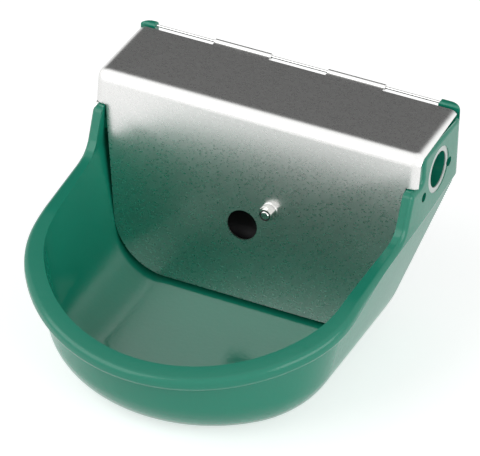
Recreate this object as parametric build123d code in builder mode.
from build123d import *
from math import atan2, cos, hypot, radians, sin, tan
import os

# Livestock drinking bowl with a float valve under a hinged sheet cover.
# Millimetres. +Z up, the animal drinks from the -Y side, the wall is on the +Y side.
# The origin is the middle of the flat base that the casting stands on.

# ---- casting: heights ----
cover_top = 155.0          # top face of the cover above the base
wall_drop = 5.0
wall_top = cover_top - wall_drop       # top edge of the side walls
back_wall_drop = 10.0
back_wall_top = cover_top - back_wall_drop
ear_rise = 2.0
ear_top = cover_top + ear_rise         # hinge ears at the back corners
knee_height = 100.0        # below this height the walls lean inwards
base_thickness = 6.5
bead_height = 11.0

# ---- casting: plan ----
cast_wall = 5.0
back_face = 140.5          # the face that goes against the wall
bead_front = -127.0        # front of the rim bead
body_half_back = 122.0     # outside of the wall under the bead, at knee height
body_taper = 7.0
body_half_front = body_half_back - body_taper
bead_reach = 0.5
bead_half_back = body_half_back + bead_reach       # half width at the back wall
bead_taper = 2.5
bead_half_front = bead_half_back - bead_taper      # where the front curve starts
body_front = -125.0
front_curve_start = -27.0  # where the straight sides turn into the front curve
side_curve_radius = 80.0
back_corner_radius = 9.0
base_half = 97.0          # lower outline of the body before it is rounded
base_front = -108.5
base_back = 108.0
base_side_radius = 72.0
base_back_radius = 58.0
base_rounding = 34.0
rounding_steps = 5         # sections that shape the rounding
body_back_radius = 14.0    # back corners at knee height

# ---- casting: side view of the rim ----
rim_front_height = 65.0    # at the front end of the rim
rim_middle = (-18.0, 92.4)
rim_bend_radius = 80.0
rim_back = (34.0, 98.0)    # where the rim turns up into the horn
horn_front = 58.0
horn_drop = 25.2
horn_top = cover_top - horn_drop
horn_root = (47.0, 101.0)
horn_root_radius = 15.0
horn_tip_radius = 5.0
wall_front = 75.0          # front edge of the side walls above the horns
band_back_height = 107.0   # lower edge of the side walls at the back face
band_bend = 16.0           # where its lower edge turns level
band_rear = (88.0, 94.5)
bead_rounding = 4.2
edge_rounding = 2.3        # top of the hinge ears

# ---- cover sheet ----
sheet = 1.2
cover_overhang = 2.0       # past the back corners of the casting
cover_half = body_half_back + cover_overhang
cover_front = 66.0
cover_back = 132.4         # rear edge of the top panel
baffle_lean = 6.0          # degrees that the lower end stands forward
cover_edge_bend = 9.0      # along the front and the sides of the top panel
cover_corner_bend = 9.3    # upright corners beside the baffle
panel_rear_radius = 6.5
flange_depth = 3.4         # at the front; the side edges get shallower towards the rear
flange_rear_depth = 2.1
tab_reach = 2.8            # how far the corner tabs turn back from the baffle
tab_bend_radius = 6.0
corner_tab_depth = 24.4
baffle_inset = 8.8
baffle_top_half = body_half_back - baffle_inset
baffle_taper = 16.2
baffle_bottom_half = baffle_top_half - baffle_taper
baffle_depth = 146.0
baffle_corner_radius = 43.0
water_hole_radius = 11.3
water_hole_x = -4.0
water_hole_depth = 88.0

# ---- hinge ----
rod_radius = 0.9
rod_fit = 0.05
rod_y = 137.9
rod_inset = 5.0            # its ends stay inside the ears
rod_end = body_half_back - rod_inset
knuckle_pitch = 43.2       # width of each knuckle and of each slot between them
knuckle_opening = 0.5
ear_width = 16.5           # right ear
ear_inner = body_half_back - ear_width
ear_width_left = 11.5
ear_inner_left = body_half_back - ear_width_left
ear_gap = 2.2              # between the cover's rear edge and the ears

# ---- latch ----
latch_x = 15.6
latch_depth = 71.0
sleeve_fit = 0.08
bolt_radius = 3.0
washer_radius = 6.0
washer_thickness = 1.6
latch_washer_thickness = 1.0
nut_flats = 10.0
lock_nut_hex = 4.7
lock_nut_collar = 2.1
lock_nut_collar_radius = 4.5
nylon_ring_radius = 4.0
thread_end = 0.4
tongue_length = 27.0
tongue_width = 11.0
tongue_thickness = 2.5
tongue_gap = 0.6
sleeve_radius = 3.5
sleeve_proud = 1.2         # sleeve in front of the sheet, so that the latch can turn
head_height = 3.6
rib_thickness = 4.8
rib_height = 8.0
rib_drop = 44.0
rib_bottom = cover_top - rib_drop
rib_gap = 0.9

# ---- valve port in both side walls ----
port_y = 100.3
port_drop = 28.4
port_z = cover_top - port_drop
port_radius = 13.1
port_face_radius = 16.8
port_face_depth = 0.4
pad_depth = 10.0           # from the outside of the wall to the inner face of the cast pads
pad_face = body_half_back - pad_depth
pad_length = 62.0
pad_height = 38.0
pad_corner = 10.0
port_screw_back = (18.2, -4.2)
port_screw_front = (-23.4, -9.1)
screw_hole_radius = 3.5

# ---- wall bolts ----
wall_bolt_radius = 5.5
wall_bolt_spacing = 160.0
wall_bolt_height = 118.0

# ---- valve ----
valve_fit = 0.08
gasket_thickness = 1.5
flange_thickness = 4.5
spigot_proud = 1.5
inlet_radius = 9.3
inlet_depth = 11.0
strainer_radius = 7.6
strainer_thickness = 1.0
strainer_hole = 0.9
barrel_radius = 10.5
barrel_length = 24.0
cylinder_radius = 7.2
lug_radius = 8.0
passage_radius = 3.0
nozzle_thickness = 4.0
nozzle_lip = 1.4
orifice_radius = 2.4
outlet_width = 9.0
outlet_length = 7.0
screw_length = 26.0
screw_head_radius = 4.8
valve_washer_radius = 5.3
flange_lug_radius = 7.0
screw_head_height = 3.6

# ---- plunger and float lever ----
plunger_fit = 0.06
seal_thickness = 2.5
plunger_travel = 2.8
plunger_tail = 5.0
pivot_drop = 16.0          # pivot below the valve axis
pin_radius = 2.5
pin_fit = 0.05
fork_gap = 12.0
fork_plate = 3.2
fork_reach = 8.0           # pivot beyond the end of the barrel
lever_width = 11.2
lever_nose_gap = 0.3
lever_thickness = 6.0
lever_reach = 26.0
arm_radius = 2.5
arm_drop = 50.0
float_length = 92.0
float_width = 42.0
float_height = 26.0
float_x = 10.0
float_y = 88.0
float_z = 43.0
float_rounding = 9.0
seal_gap = 0.1
seal_radius = 5.2
thread_fit = 0.04
screw_radius = 3.0
clip_thickness = 0.7
clip_radius = 4.4
adjuster_radius = 2.0
adjuster_flats = 7.0
adjuster_nut_height = 3.0
arm_nut_flats = 9.0
arm_nut_height = 4.0
arm_socket = 14.0
socket_radius = 6.5
socket_height = 9.0


def plan_outline(height, half_front, half_back, front, back, side_radius, back_radius):
    """Closed plan of the bowl at one height: straight back, nearly straight sides, round front."""
    slant = atan2(half_back - half_front, back - front_curve_start)
    side_end = (half_front, front_curve_start)
    centre_x = half_front - side_radius * cos(slant)
    centre_y = front_curve_start + side_radius * sin(slant)
    rise = centre_y - front
    front_radius = (rise**2 + centre_x**2 - side_radius**2) / (2 * (rise - side_radius))
    away_x = centre_x
    away_y = centre_y - (front + front_radius)
    away = hypot(away_x, away_y)
    join_x = centre_x + side_radius * away_x / away
    join_y = centre_y + side_radius * away_y / away
    forwards = (-sin(slant), -cos(slant))
    with BuildSketch(Plane.XY.offset(height)) as outline:
        with BuildLine():
            Line((half_back, back), side_end)
            TangentArc(side_end, (join_x, join_y), tangent=forwards)
            ThreePointArc((join_x, join_y), (0, front), (-join_x, join_y))
            TangentArc((-half_front, front_curve_start), (-join_x, join_y), tangent=(sin(slant), -cos(slant)))
            Line((-half_front, front_curve_start), (-half_back, back))
            Line((-half_back, back), (half_back, back))
        make_face()
        fillet(outline.vertices().group_by(Axis.Y)[-1], back_radius)
    return outline.sketch


def body_section(height, wall, inset):
    """Outline of the body at one height, set in by the wall thickness and by the bottom rounding."""
    share = height / knee_height
    inset += wall
    add(plan_outline(
        height,
        base_half + share * (body_half_front - base_half) - inset,
        base_half + share * (body_half_back - base_half) - inset,
        base_front + share * (body_front - base_front) + inset,
        base_back + share * (back_face - base_back) - inset,
        base_side_radius + share * (side_curve_radius - base_side_radius) - inset,
        base_back_radius + share * (body_back_radius - base_back_radius) - inset,
    ))


def body_block(wall, floor):
    """Solid body with a rounded bottom: a loft through an arc of sections, then straight sides."""
    radius = base_rounding - wall
    for step in range(rounding_steps + 1):
        turn = radians(90 * step / rounding_steps)
        body_section(floor + radius * (1 - cos(turn)), wall, radius * (1 - sin(turn)))
    loft()
    body_section(floor + radius, wall, 0)
    body_section(knee_height, wall, 0)
    loft(ruled=True)


def beside_baffle(depth, out):
    """Side view point at a distance down the baffle and a distance out of its front face."""
    lean = radians(baffle_lean)
    return (cover_front - depth * sin(lean) - out * cos(lean),
            cover_top - depth * cos(lean) + out * sin(lean))


# ---- bowl casting ----
inner_back_face = back_face - cast_wall
rim_slope = (rim_middle[1] - rim_front_height) / (rim_middle[0] - bead_front)
rim_reach = 40.0           # how far the cutting profiles run past the casting
rim_start = (bead_front - rim_reach, rim_front_height - rim_reach * rim_slope)
pivot_z = cover_top - sheet / 2
rib_depth = (cover_top - rib_bottom - rib_height / 2) / cos(radians(baffle_lean))
side_slant = (bead_half_back - bead_half_front) / (back_face - front_curve_start)
port_outside = bead_half_front + side_slant * (port_y - front_curve_start)

with BuildPart() as above_rim:
    # everything above the rim, the horns and the side walls
    with BuildSketch(Plane.YZ) as above:
        with BuildLine():
            Polyline(
                rim_start, rim_middle, rim_back, horn_root, (horn_front, horn_top), (wall_front, horn_top),
                (wall_front, wall_top), (back_face + rim_reach, wall_top),
                (back_face + rim_reach, cover_top + rim_reach),
                (bead_front - rim_reach, cover_top + rim_reach),
                rim_start,
            )
        make_face()
        fillet(above.vertices().sort_by_distance(rim_middle)[0], rim_bend_radius)
        fillet(above.vertices().sort_by_distance(horn_root)[0], horn_root_radius)
        fillet(above.vertices().sort_by_distance((horn_front, horn_top))[0], horn_tip_radius)
        fillet(above.vertices().sort_by_distance((wall_front, horn_top))[0], horn_tip_radius)
        fillet(above.vertices().sort_by_distance((wall_front, wall_top))[0], horn_tip_radius)
    extrude(amount=2 * bead_half_back, both=True)

with BuildPart() as rounded_rim:
    # the outline of the bead and the side walls with the top edges rounded
    add(plan_outline(0, bead_half_front, bead_half_back, bead_front, back_face, side_curve_radius,
                     back_corner_radius))
    extrude(amount=cover_top)
    add(above_rim.part, mode=Mode.SUBTRACT)
    rim = rounded_rim.faces().filter_by(lambda face: face.normal_at().Z > 0.3).edges()
    rim = rim.filter_by(Axis.X, reverse=True).filter_by_position(Axis.Y, -300, horn_front + 9)
    fillet(rim, bead_rounding)

with BuildPart() as band:
    # rim bead, horns and side walls as one thick band, still solid inside
    with BuildSketch(Plane.YZ) as beside:
        with BuildLine():
            band_start = (rim_start[0], rim_start[1] - bead_height)
            band_middle = (band_bend, band_start[1] + rim_slope * (band_bend - band_start[0]))
            Polyline(
                band_start, band_middle, band_rear, (back_face + rim_reach, band_back_height),
                (back_face + rim_reach, cover_top), (band_start[0], cover_top), band_start,
            )
        make_face()
        fillet(beside.vertices().sort_by_distance(band_middle)[0], rim_bend_radius)
        fillet(beside.vertices().sort_by_distance(band_rear)[0], rim_bend_radius)
    extrude(amount=2 * bead_half_back, both=True)
    add(plan_outline(0, bead_half_front, bead_half_back, bead_front, back_face, side_curve_radius,
                     back_corner_radius))
    extrude(amount=2 * cover_top, mode=Mode.INTERSECT)
    under = band.faces().filter_by(lambda face: face.normal_at().Z < -0.3).edges()
    under = under.filter_by(Axis.X, reverse=True).filter_by_position(Axis.Y, -300, back_face - 6)
    fillet(under, bead_rounding)
    add(rounded_rim.part, mode=Mode.INTERSECT)

with BuildPart() as hollow:
    # the room inside the bowl and between the side walls
    body_block(cast_wall, base_thickness)
    extrude(hollow.faces().sort_by(Axis.Z)[-1], amount=cover_top - knee_height + rim_reach)

with BuildPart() as bowl_casting:
    # body: round at the bottom, lofted from the base outline to the outline at knee height
    body_block(0, 0)
    extrude(bowl_casting.faces().sort_by(Axis.Z)[-1], amount=wall_top - knee_height)
    add(above_rim.part, mode=Mode.SUBTRACT)
    add(band.part)
    add(hollow.part, mode=Mode.SUBTRACT)

    # lower back wall between the hinge ears
    with BuildSketch(Plane.XY.offset(back_wall_top)) as gap:
        with Locations((ear_inner, inner_back_face)):
            Rectangle(ear_inner + ear_inner_left, 4 * cast_wall, align=(Align.MAX, Align.CENTER))
    extrude(amount=cover_top, mode=Mode.SUBTRACT)
    # ears at the back corners that carry the hinge rod
    with BuildSketch(Plane.XY.offset(wall_top - cast_wall)) as corner_plan:
        add(plan_outline(0, bead_half_front, bead_half_back, bead_front, back_face, side_curve_radius,
                         back_corner_radius))
        with Locations((0, (cover_back + ear_gap) / 2 - cover_top)):
            Rectangle(3 * bead_half_back, cover_back + ear_gap + 2 * cover_top, mode=Mode.SUBTRACT)
        with Locations((ear_inner, 0)):
            Rectangle(ear_inner + ear_inner_left, 4 * back_face, align=(Align.MAX, Align.CENTER),
                      mode=Mode.SUBTRACT)
    extrude(amount=ear_top - wall_top + cast_wall)
    fillet(bowl_casting.edges().group_by(Axis.Z)[-1], edge_rounding)

    # cross rib that the latch tongue turns behind, parallel to the baffle
    with BuildSketch(Plane.YZ) as rib:
        rib_middle = beside_baffle(rib_depth, -sheet - rib_gap - rib_thickness / 2)
        with Locations(Location(rib_middle, -baffle_lean)):
            RectangleRounded(rib_thickness, rib_height, 1.2)
    extrude(amount=bead_half_front - cast_wall / 2, both=True)

    # pads, ports and screw holes, the same in both side walls
    for side in (-1, 1):
        with BuildSketch(Plane.YZ.offset(side * pad_face)) as pad:
            with Locations((port_y, port_z)):
                RectangleRounded(pad_length, pad_height, pad_corner)
        extrude(amount=side * (bead_half_back - cast_wall / 2 - pad_face))
        with BuildSketch(Plane.YZ.offset(side * (port_outside - port_face_depth))) as spot:
            with Locations((port_y, port_z)):
                Circle(port_face_radius)
        extrude(amount=side * 4, mode=Mode.SUBTRACT)
        with BuildSketch(Plane.YZ.offset(side * (pad_face - 1))) as port:
            with Locations((port_y, port_z)):
                Circle(port_radius)
                with Locations(port_screw_back, port_screw_front):
                    Circle(screw_hole_radius)
        extrude(amount=side * 20, mode=Mode.SUBTRACT)
    # flat seats for the valve screws
    with BuildSketch(Plane.YZ.offset(port_face_depth - port_outside)) as seats:
        with Locations((port_y, port_z)):
            with Locations(port_screw_back, port_screw_front):
                Circle(valve_washer_radius + 0.8)
    extrude(amount=-2 * washer_thickness, mode=Mode.SUBTRACT)

    # blind rod hole in the right ear, open through the left one so that the rod goes in from there
    with BuildSketch(Plane.YZ.offset(rod_end + rod_fit)) as rod_hole:
        with Locations((rod_y, pivot_z)):
            Circle(rod_radius + rod_fit)
    extrude(amount=-2 * bead_half_back, mode=Mode.SUBTRACT)

    # two holes for the wall bolts
    with BuildSketch(Plane.XZ.offset(-back_face - 1)) as wall_holes:
        with Locations((-wall_bolt_spacing / 2, wall_bolt_height), (wall_bolt_spacing / 2, wall_bolt_height)):
            Circle(wall_bolt_radius)
    extrude(amount=3 * cast_wall, mode=Mode.SUBTRACT)

# ---- hinge rod ----
with BuildPart() as hinge_rod:
    with BuildSketch(Plane.YZ.offset(-rod_end)) as rod_section:
        with Locations((rod_y, pivot_z)):
            Circle(rod_radius)
    extrude(amount=2 * rod_end)
    chamfer(hinge_rod.edges().filter_by(GeomType.CIRCLE), 0.3)

# ---- cover: top panel, flanges, corner tabs, baffle and knuckles from one sheet ----
lean = radians(baffle_lean)
baffle = Plane(origin=(0, cover_front, cover_top), x_dir=(1, 0, 0), z_dir=(0, -cos(lean), sin(lean)))

with BuildPart() as cover_plate:
    with BuildSketch(Plane.YZ) as side_view:
        with BuildLine():
            tab_foot = (cover_front - corner_tab_depth * tan(lean), cover_top - corner_tab_depth)
            Polyline(
                (cover_front, cover_top), (cover_back, cover_top), (cover_back, tab_foot[1]), tab_foot,
                (cover_front, cover_top),
            )
        make_face()
    extrude(amount=cover_half, both=True)
    fillet(cover_plate.faces().sort_by(Axis.Y)[0].edges().filter_by(Axis.X, reverse=True), cover_corner_bend)
    top_edges = cover_plate.faces().sort_by(Axis.Z)[-1].edges()
    fillet(top_edges.filter_by_position(Axis.Y, -300, cover_back - 1), cover_edge_bend)
    open_faces = [cover_plate.faces().sort_by(Axis.Z)[0], cover_plate.faces().sort_by(Axis.Y)[-1]]
    offset(amount=-sheet, openings=open_faces)
    # the sides keep only a shallow flange behind the corner tabs
    with BuildSketch(Plane.YZ) as side_opening:
        with BuildLine():
            flange_start = (cover_front + tab_reach, cover_top - flange_depth)
            flange_end = (cover_back + sheet, cover_top - flange_rear_depth)
            Polyline(
                flange_start, flange_end, (flange_end[0], cover_top - 2 * corner_tab_depth),
                (flange_start[0] - 2 * corner_tab_depth * tan(lean), cover_top - 2 * corner_tab_depth),
                flange_start,
            )
        make_face()
        fillet(side_opening.vertices().sort_by_distance(flange_start)[0], tab_bend_radius)
    extrude(amount=2 * cover_half, both=True, mode=Mode.SUBTRACT)
    # rounded rear corners
    with BuildSketch(Plane.XY) as panel_plan:
        with Locations((0, cover_back)):
            Rectangle(2 * cover_half, 2 * cover_back, align=(Align.CENTER, Align.MAX))
        fillet(panel_plan.vertices().group_by(Axis.Y)[-1], panel_rear_radius)
    extrude(amount=2 * cover_top, mode=Mode.INTERSECT)
    # baffle
    with BuildSketch(baffle) as baffle_outline:
        with BuildLine():
            Polyline(
                (-baffle_top_half, -2 * cover_edge_bend), (baffle_top_half, -2 * cover_edge_bend),
                (baffle_top_half, -corner_tab_depth), (baffle_bottom_half, -baffle_depth),
                (-baffle_bottom_half, -baffle_depth), (-baffle_top_half, -corner_tab_depth),
                (-baffle_top_half, -2 * cover_edge_bend),
            )
        make_face()
        fillet(baffle_outline.vertices().group_by(Axis.Y)[0], baffle_corner_radius)
    extrude(amount=-sheet)
    # water hole and latch hole
    with BuildSketch(baffle.offset(sheet)) as sheet_holes:
        with Locations((water_hole_x, -water_hole_depth)):
            Circle(water_hole_radius)
        with Locations((latch_x, -latch_depth)):
            Circle(sleeve_radius + sleeve_fit)
    extrude(amount=-3 * sheet, mode=Mode.SUBTRACT)
    # two rolled knuckles, each open along a narrow seam
    for side in (-1, 1):
        with BuildSketch(Plane.YZ.offset(side * knuckle_pitch)) as roll:
            with Locations((rod_y, pivot_z)):
                Circle(rod_radius + rod_fit + sheet)
                Rectangle(rod_y - cover_back + 2 * sheet, sheet, align=(Align.MAX, Align.CENTER))
                Circle(rod_radius + rod_fit, mode=Mode.SUBTRACT)
            with Locations((rod_y, pivot_z - sheet / 2)):
                Rectangle(rod_y, knuckle_opening, align=(Align.MAX, Align.MAX), mode=Mode.SUBTRACT)
        extrude(amount=knuckle_pitch / 2, both=True)

# ---- latch ----
latch_spot = (latch_x, -latch_depth)
tongue_face = -sheet - rib_gap - rib_thickness - tongue_gap
nut_face = sleeve_proud
collar_face = nut_face + lock_nut_hex
stack_end = collar_face + lock_nut_collar

with BuildPart() as latch_washer:
    with BuildSketch(baffle) as washer_section:
        with Locations(latch_spot):
            Circle(washer_radius)
            Circle(sleeve_radius + sleeve_fit, mode=Mode.SUBTRACT)
    extrude(amount=latch_washer_thickness)
    fillet(latch_washer.faces().filter_by(GeomType.PLANE).sort_by_distance((latch_x, -200, cover_top))[0]
           .outer_wire().edges(), 0.3)

with BuildPart() as latch_sleeve:
    with BuildSketch(baffle.offset(tongue_face)) as sleeve_section:
        with Locations(latch_spot):
            Circle(sleeve_radius)
            Circle(bolt_radius + thread_fit, mode=Mode.SUBTRACT)
    extrude(amount=nut_face - tongue_face)

with BuildPart() as latch_tongue:
    with BuildSketch(baffle.offset(tongue_face)) as tongue_section:
        with Locations(latch_spot):
            Circle(tongue_width / 2)
            Rectangle(tongue_length - tongue_width / 2, tongue_width, align=(Align.MIN, Align.CENTER))
        with Locations((latch_x + tongue_length - tongue_width / 2, -latch_depth)):
            Circle(tongue_width / 2)
        with Locations(latch_spot):
            Circle(bolt_radius + thread_fit, mode=Mode.SUBTRACT)
    extrude(amount=-tongue_thickness)

with BuildPart() as latch_bolt:
    with BuildSketch(baffle.offset(tongue_face - tongue_thickness)) as head_section:
        with Locations(latch_spot):
            RegularPolygon(nut_flats / 2, 6, major_radius=False)
    extrude(amount=-head_height)
    with BuildSketch(baffle.offset(tongue_face - tongue_thickness)) as shank_section:
        with Locations(latch_spot):
            Circle(bolt_radius)
    extrude(amount=stack_end + thread_end - tongue_face + tongue_thickness)
    chamfer(latch_bolt.edges().filter_by(GeomType.CIRCLE).sort_by(Axis.Y)[0], 0.5)

with BuildPart() as latch_lock_nut:
    with BuildSketch(baffle.offset(nut_face)) as lock_section:
        with Locations(latch_spot):
            RegularPolygon(nut_flats / 2, 6, major_radius=False, rotation=30)
    extrude(amount=lock_nut_hex)
    with BuildSketch(baffle.offset(collar_face)) as collar_section:
        with Locations(latch_spot):
            Circle(lock_nut_collar_radius)
    extrude(amount=lock_nut_collar)
    with BuildSketch(baffle.offset(nut_face)) as lock_bore:
        with Locations(latch_spot):
            Circle(bolt_radius + thread_fit)
    extrude(amount=lock_nut_hex + lock_nut_collar, mode=Mode.SUBTRACT)
    with BuildSketch(baffle.offset(collar_face)) as ring_pocket:
        with Locations(latch_spot):
            Circle(nylon_ring_radius)
    extrude(amount=lock_nut_collar, mode=Mode.SUBTRACT)

with BuildPart() as lock_nut_ring:
    with BuildSketch(baffle.offset(collar_face)) as ring_section:
        with Locations(latch_spot):
            Circle(nylon_ring_radius - thread_fit)
            Circle(bolt_radius + thread_fit, mode=Mode.SUBTRACT)
    extrude(amount=lock_nut_collar - 0.3)

# ---- valve in the left side wall ----
gasket_face = -pad_face
flange_face = gasket_face + gasket_thickness
barrel_face = flange_face + flange_thickness
barrel_end = barrel_face + barrel_length
spigot_end = -port_outside - spigot_proud
screw_seat = port_face_depth - port_outside
cylinder_bottom = barrel_face + 2
lip_end = cylinder_bottom + nozzle_thickness + nozzle_lip
lever_pivot = (barrel_end + fork_reach, port_z - pivot_drop)
plunger_face = lip_end + seal_gap + plunger_travel
tail_end = barrel_end + plunger_tail - 2
nose_face = lever_pivot[0] - lever_thickness / 2
screw_spots = [(port_y + port_screw_back[0], port_z + port_screw_back[1]),
               (port_y + port_screw_front[0], port_z + port_screw_front[1])]

with BuildPart() as valve_gasket:
    with BuildSketch(Plane.YZ.offset(gasket_face)) as gasket_outline:
        with Locations((port_y, port_z)):
            Circle(port_face_radius)
        with Locations(screw_spots):
            Circle(flange_lug_radius)
        make_hull()
        with Locations((port_y, port_z)):
            Circle(port_radius, mode=Mode.SUBTRACT)
        with Locations(screw_spots):
            Circle(screw_hole_radius, mode=Mode.SUBTRACT)
    extrude(amount=gasket_thickness)

with BuildPart() as valve_body:
    with BuildSketch(Plane.YZ.offset(spigot_end)) as spigot:
        with Locations((port_y, port_z)):
            Circle(port_radius - valve_fit)
    extrude(amount=barrel_face - spigot_end)
    with BuildSketch(Plane.YZ.offset(flange_face)) as flange:
        with Locations((port_y, port_z)):
            Circle(port_face_radius)
        with Locations(screw_spots):
            Circle(flange_lug_radius)
        make_hull()
    extrude(amount=flange_thickness)
    with BuildSketch(Plane.YZ.offset(barrel_face)) as barrel:
        with Locations((port_y, port_z)):
            Circle(barrel_radius)
    extrude(amount=barrel_length)
    for side in (-1, 1):
        with BuildSketch(Plane.XZ.offset(-port_y - side * (fork_gap + fork_plate) / 2)) as fork:
            with Locations(lever_pivot, (barrel_end - lug_radius, port_z - lug_radius / 2)):
                Circle(lug_radius - 1)
            make_hull()
        extrude(amount=fork_plate / 2, both=True)
    with BuildSketch(Plane.YZ.offset(cylinder_bottom)) as cylinder:
        with Locations((port_y, port_z)):
            Circle(cylinder_radius)
    extrude(amount=2 * barrel_length, mode=Mode.SUBTRACT)
    with BuildSketch(Plane.YZ.offset(spigot_end)) as inlet:
        with Locations((port_y, port_z)):
            Circle(inlet_radius)
    extrude(amount=inlet_depth, mode=Mode.SUBTRACT)
    with BuildSketch(Plane.YZ.offset(spigot_end + inlet_depth)) as strainer_seat:
        with Locations((port_y, port_z)):
            Circle(strainer_radius + valve_fit)
    extrude(amount=strainer_thickness, mode=Mode.SUBTRACT)
    with BuildSketch(Plane.YZ.offset(spigot_end)) as passage:
        with Locations((port_y, port_z)):
            Circle(passage_radius)
    extrude(amount=barrel_end - spigot_end, mode=Mode.SUBTRACT)
    with BuildSketch(Plane.YZ.offset(spigot_end + inlet_depth)) as screw_holes:
        with Locations(screw_spots):
            Circle(screw_radius + thread_fit)
    extrude(amount=barrel_end - spigot_end, mode=Mode.SUBTRACT)
    with BuildSketch(Plane.XY.offset(port_z)) as outlet:
        with Locations((lip_end - nozzle_lip, port_y)):
            Rectangle(outlet_length, outlet_width, align=(Align.MIN, Align.CENTER))
    extrude(amount=-2 * barrel_radius, mode=Mode.SUBTRACT)
    with BuildSketch(Plane.XZ.offset(-port_y)) as pin_holes:
        with Locations(lever_pivot):
            Circle(pin_radius + pin_fit)
    extrude(amount=fork_gap + fork_plate, both=True, mode=Mode.SUBTRACT)

with BuildPart() as inlet_strainer:
    with BuildSketch(Plane.YZ.offset(spigot_end + inlet_depth)) as strainer:
        with Locations((port_y, port_z)):
            Circle(strainer_radius)
            for ring, count in ((0.33, 5), (0.72, 11)):
                with PolarLocations(ring * strainer_radius, count):
                    Circle(strainer_hole, mode=Mode.SUBTRACT)
    extrude(amount=strainer_thickness)

with BuildPart() as nozzle_seat:
    with BuildSketch(Plane.YZ.offset(cylinder_bottom)) as seat_disc:
        with Locations((port_y, port_z)):
            Circle(cylinder_radius - pin_fit)
    extrude(amount=nozzle_thickness)
    with BuildSketch(Plane.YZ.offset(cylinder_bottom + nozzle_thickness)) as seat_lip:
        with Locations((port_y, port_z)):
            Circle(orifice_radius + nozzle_lip)
    extrude(amount=nozzle_lip)
    chamfer(nozzle_seat.faces().sort_by(Axis.X)[-1].edges(), nozzle_lip / 2)
    with BuildSketch(Plane.YZ.offset(cylinder_bottom)) as orifice:
        with Locations((port_y, port_z)):
            Circle(orifice_radius)
    extrude(amount=2 * nozzle_thickness, mode=Mode.SUBTRACT)

with BuildPart() as valve_screws:
    with BuildSketch(Plane.YZ.offset(screw_seat - washer_thickness)) as screw_heads:
        with Locations(screw_spots):
            Circle(screw_head_radius)
    extrude(amount=-screw_head_height)
    with BuildSketch(Plane.YZ.offset(screw_seat - washer_thickness)) as screw_shanks:
        with Locations(screw_spots):
            Circle(screw_radius)
    extrude(amount=barrel_face - screw_seat + washer_thickness)
    with BuildSketch(Plane.YZ.offset(screw_seat - washer_thickness - screw_head_height)) as keys:
        with Locations(screw_spots):
            RegularPolygon(2.5, 6, major_radius=False)
    extrude(amount=screw_head_height / 2, mode=Mode.SUBTRACT)

with BuildPart() as valve_washers:
    with BuildSketch(Plane.YZ.offset(screw_seat)) as washer_rings:
        with Locations(screw_spots):
            Circle(valve_washer_radius)
            Circle(screw_radius + 0.2, mode=Mode.SUBTRACT)
    extrude(amount=-washer_thickness)

# ---- plunger ----
with BuildPart() as plunger:
    with BuildSketch(Plane.YZ.offset(plunger_face + seal_thickness / 5)) as piston:
        with Locations((port_y, port_z)):
            Circle(cylinder_radius - plunger_fit)
    extrude(amount=barrel_end - plunger_face - 4)
    with BuildSketch(Plane.YZ.offset(barrel_end - 5)) as tail:
        with Locations((port_y, port_z)):
            Circle(plunger_tail)
    extrude(amount=tail_end - barrel_end + 5)
    chamfer(plunger.faces().sort_by(Axis.X)[-1].edges(), 0.8)
    with BuildSketch(Plane.YZ.offset(plunger_face)) as seal_pocket:
        with Locations((port_y, port_z)):
            Circle(seal_radius + thread_fit)
    extrude(amount=seal_thickness, mode=Mode.SUBTRACT)

with BuildPart() as plunger_seal:
    with BuildSketch(Plane.YZ.offset(plunger_face)) as seal_disc:
        with Locations((port_y, port_z)):
            Circle(seal_radius)
    extrude(amount=seal_thickness)

# ---- float lever ----
pin_half = fork_gap / 2 + fork_plate + 3 * clip_thickness
clip_start = fork_gap / 2 + fork_plate + 0.1

with BuildPart() as pivot_pin:
    with BuildSketch(Plane.XZ.offset(-port_y)) as pin_section:
        with Locations(lever_pivot):
            Circle(pin_radius)
    extrude(amount=pin_half, both=True)
    chamfer(pivot_pin.edges().filter_by(GeomType.CIRCLE), 0.4)
    for side in (-1, 1):
        with BuildSketch(Plane.XZ.offset(-port_y - side * (clip_start + clip_thickness / 2))) as groove:
            with Locations(lever_pivot):
                Circle(2 * pin_radius)
                Circle(pin_radius - 0.6, mode=Mode.SUBTRACT)
        extrude(amount=clip_thickness / 2 + 0.05, both=True, mode=Mode.SUBTRACT)

with BuildPart() as pin_clips:
    for side in (-1, 1):
        with BuildSketch(Plane.XZ.offset(-port_y - side * (clip_start + clip_thickness / 2))) as clip:
            with Locations(lever_pivot):
                Circle(clip_radius)
                Circle(pin_radius - 0.6 + 0.05, mode=Mode.SUBTRACT)
                Rectangle(2 * (pin_radius - 0.8), clip_radius, align=(Align.CENTER, Align.MAX),
                          mode=Mode.SUBTRACT)
        extrude(amount=clip_thickness / 2, both=True)

with BuildPart() as lever:
    with BuildSketch(Plane.XZ.offset(-port_y)) as lever_arm:
        with Locations(lever_pivot):
            Circle(lug_radius - 2)
            Rectangle(lever_reach, 2 * (arm_radius + 2.5), align=(Align.MIN, Align.CENTER))
            Rectangle(lever_thickness, pivot_drop + 6, align=(Align.CENTER, Align.MIN))
        fillet(lever_arm.vertices().group_by(Axis.X)[-1], 1.5)
    extrude(amount=lever_width / 2, both=True)
    fillet(lever.faces().sort_by(Axis.Z)[-1].edges().filter_by(Axis.X), 3)
    with BuildSketch(Plane.XZ.offset(-port_y)) as lever_bore:
        with Locations(lever_pivot):
            Circle(pin_radius + pin_fit)
    extrude(amount=lever_width, both=True, mode=Mode.SUBTRACT)
    with BuildSketch(Plane.YZ.offset(lever_pivot[0] + lever_reach)) as arm_bore:
        with Locations((port_y, lever_pivot[1])):
            Circle(arm_radius + thread_fit)
    extrude(amount=-arm_socket, mode=Mode.SUBTRACT)
    with BuildSketch(Plane.YZ.offset(lever_pivot[0])) as nose_bore:
        with Locations((port_y, port_z)):
            Circle(adjuster_radius + thread_fit)
    extrude(amount=lever_thickness, both=True, mode=Mode.SUBTRACT)

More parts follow.
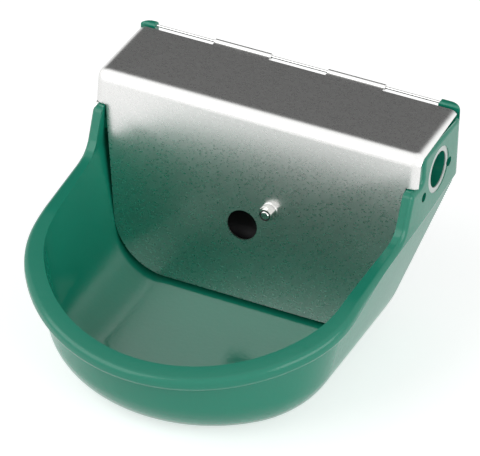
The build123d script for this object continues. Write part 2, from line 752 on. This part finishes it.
with BuildPart() as adjusting_screw:
    with BuildSketch(Plane.YZ.offset(tail_end + lever_nose_gap)) as adjuster:
        with Locations((port_y, port_z)):
            Circle(adjuster_radius)
    extrude(amount=nose_face - tail_end + lever_thickness + 2 * adjuster_nut_height)
    chamfer(adjusting_screw.edges().filter_by(GeomType.CIRCLE), 0.4)
    with BuildSketch(Plane.YZ.offset(adjusting_screw.faces().sort_by(Axis.X)[-1].center().X)) as slot:
        with Locations((port_y, port_z)):
            Rectangle(4 * adjuster_radius, 0.8)
    extrude(amount=-1.2, mode=Mode.SUBTRACT)

with BuildPart() as adjusting_nut:
    with BuildSketch(Plane.YZ.offset(nose_face + lever_thickness)) as adjuster_nut:
        with Locations((port_y, port_z)):
            RegularPolygon(adjuster_flats / 2, 6, major_radius=False)
            Circle(adjuster_radius + thread_fit, mode=Mode.SUBTRACT)
    extrude(amount=adjuster_nut_height)

# ---- float and its arm ----
float_top = float_z + float_height / 2
arm_start = lever_pivot[0] + lever_reach - arm_socket + 0.2
arm_bend_start = (lever_pivot[0] + lever_reach + 4, port_y, lever_pivot[1])
arm_bend_end = (float_x, float_y, float_top + socket_height + arm_nut_height + 4)

with BuildPart() as float_arm:
    with BuildLine() as arm_path:
        Line((arm_start, port_y, lever_pivot[1]), arm_bend_start)
        Spline(arm_bend_start, arm_bend_end, tangents=[(1, 0, 0), (0, 0, -1)])
        Line(arm_bend_end, (float_x, float_y, float_top + 0.5))
    with BuildSketch(Plane.YZ.offset(arm_start)) as arm_section:
        with Locations((port_y, lever_pivot[1])):
            Circle(arm_radius)
    sweep(path=arm_path.wires()[0])

with BuildPart() as float_body:
    with BuildSketch(Plane.XY.offset(float_z - float_height / 2)) as float_plan:
        with Locations((float_x, float_y)):
            RectangleRounded(float_length, float_width, float_rounding * 1.6)
    extrude(amount=float_height)
    fillet(float_body.edges().group_by(Axis.Z)[0], float_rounding * 0.7)
    fillet(float_body.edges().group_by(Axis.Z)[-1], float_rounding * 0.7)
    with BuildSketch(Plane.XY.offset(float_top - 1)) as socket:
        with Locations((float_x, float_y)):
            Circle(socket_radius)
    extrude(amount=socket_height + 1)
    with BuildSketch(Plane.XY.offset(float_top)) as socket_bore:
        with Locations((float_x, float_y)):
            Circle(arm_radius + thread_fit)
    extrude(amount=socket_height + 1, mode=Mode.SUBTRACT)

with BuildPart() as float_nut:
    with BuildSketch(Plane.XY.offset(float_top + socket_height)) as float_nut_section:
        with Locations((float_x, float_y)):
            RegularPolygon(arm_nut_flats / 2, 6, major_radius=False)
            Circle(arm_radius + thread_fit, mode=Mode.SUBTRACT)
    extrude(amount=arm_nut_height)

# ---- export ----
os.makedirs("parts", exist_ok=True)
bowl_casting.part.label = "bowl_casting"
export_step(bowl_casting.part, "parts/bowl_casting.step")
hinge_rod.part.label = "hinge_rod"
export_step(hinge_rod.part, "parts/hinge_rod.step")
cover_plate.part.label = "cover_plate"
export_step(cover_plate.part, "parts/cover_plate.step")
latch_bolt.part.label = "latch_bolt"
export_step(latch_bolt.part, "parts/latch_bolt.step")
latch_sleeve.part.label = "latch_sleeve"
export_step(latch_sleeve.part, "parts/latch_sleeve.step")
latch_washer.part.label = "latch_washer"
export_step(latch_washer.part, "parts/latch_washer.step")
latch_tongue.part.label = "latch_tongue"
export_step(latch_tongue.part, "parts/latch_tongue.step")
latch_lock_nut.part.label = "latch_lock_nut"
export_step(latch_lock_nut.part, "parts/latch_lock_nut.step")
lock_nut_ring.part.label = "lock_nut_ring"
export_step(lock_nut_ring.part, "parts/lock_nut_ring.step")
valve_body.part.label = "valve_body"
export_step(valve_body.part, "parts/valve_body.step")
valve_gasket.part.label = "valve_gasket"
export_step(valve_gasket.part, "parts/valve_gasket.step")
inlet_strainer.part.label = "inlet_strainer"
export_step(inlet_strainer.part, "parts/inlet_strainer.step")
nozzle_seat.part.label = "nozzle_seat"
export_step(nozzle_seat.part, "parts/nozzle_seat.step")
valve_screws.part.label = "valve_screws"
export_step(valve_screws.part, "parts/valve_screws.step")
valve_washers.part.label = "valve_washers"
export_step(valve_washers.part, "parts/valve_washers.step")
plunger.part.label = "plunger"
export_step(plunger.part, "parts/plunger.step")
plunger_seal.part.label = "plunger_seal"
export_step(plunger_seal.part, "parts/plunger_seal.step")
pivot_pin.part.label = "pivot_pin"
export_step(pivot_pin.part, "parts/pivot_pin.step")
pin_clips.part.label = "pin_clips"
export_step(pin_clips.part, "parts/pin_clips.step")
lever.part.label = "lever"
export_step(lever.part, "parts/lever.step")
adjusting_screw.part.label = "adjusting_screw"
export_step(adjusting_screw.part, "parts/adjusting_screw.step")
adjusting_nut.part.label = "adjusting_nut"
export_step(adjusting_nut.part, "parts/adjusting_nut.step")
float_arm.part.label = "float_arm"
export_step(float_arm.part, "parts/float_arm.step")
float_body.part.label = "float_body"
export_step(float_body.part, "parts/float_body.step")
float_nut.part.label = "float_nut"
export_step(float_nut.part, "parts/float_nut.step")
